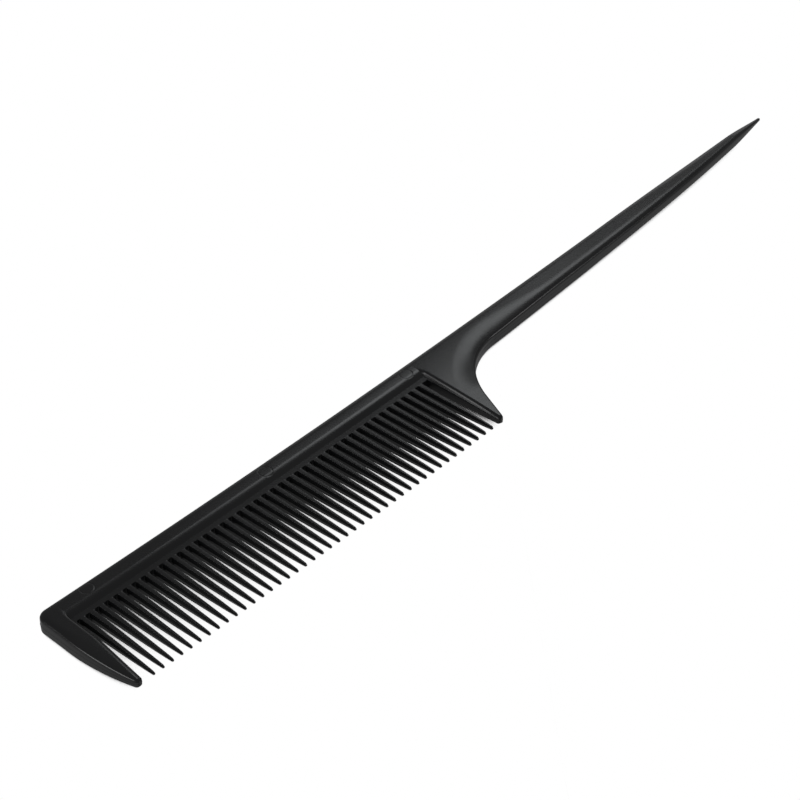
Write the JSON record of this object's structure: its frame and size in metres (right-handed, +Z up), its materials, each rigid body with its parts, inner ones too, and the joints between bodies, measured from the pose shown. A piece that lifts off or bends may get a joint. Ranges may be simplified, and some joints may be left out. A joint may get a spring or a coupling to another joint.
{
  "type": "rat tail comb",
  "caption": "Slim hair comb with a single row of fine tapered teeth between two guard teeth, a rounded spine, and a long pointed tail for parting and sectioning hair.",
  "frame": {"origin": "centre of the comb's length and width, on the surface that it lies on", "axes": "+X along the comb from the front guard tooth to the tail's point, +Y across it from the tooth tips to the back edge, +Z up from the surface"},
  "size_m": [0.2282, 0.0272, 0.004],
  "materials": {
    "black_plastic": "satin moulded black plastic, smooth, with faint mould marks"
  },
  "bodies": {
    "root": {"spine": "black_plastic", "front_guard": "black_plastic", "heel": "black_plastic", "tail": "black_plastic", "tooth_01": "black_plastic", "tooth_02": "black_plastic", "tooth_03": "black_plastic", "tooth_04": "black_plastic", "tooth_05": "black_plastic", "tooth_06": "black_plastic", "tooth_07": "black_plastic", "tooth_08": "black_plastic", "tooth_09": "black_plastic", "tooth_10": "black_plastic", "tooth_11": "black_plastic", "tooth_12": "black_plastic", "tooth_13": "black_plastic", "tooth_14": "black_plastic", "tooth_15": "black_plastic", "tooth_16": "black_plastic", "tooth_17": "black_plastic", "tooth_18": "black_plastic", "tooth_19": "black_plastic", "tooth_20": "black_plastic", "tooth_21": "black_plastic", "tooth_22": "black_plastic", "tooth_23": "black_plastic", "tooth_24": "black_plastic", "tooth_25": "black_plastic", "tooth_26": "black_plastic", "tooth_27": "black_plastic", "tooth_28": "black_plastic", "tooth_29": "black_plastic", "tooth_30": "black_plastic", "tooth_31": "black_plastic", "tooth_32": "black_plastic", "tooth_33": "black_plastic", "tooth_34": "black_plastic", "tooth_35": "black_plastic", "tooth_36": "black_plastic", "tooth_37": "black_plastic", "tooth_38": "black_plastic", "tooth_39": "black_plastic", "tooth_40": "black_plastic", "tooth_41": "black_plastic", "tooth_42": "black_plastic"}
  },
  "joints": []
}
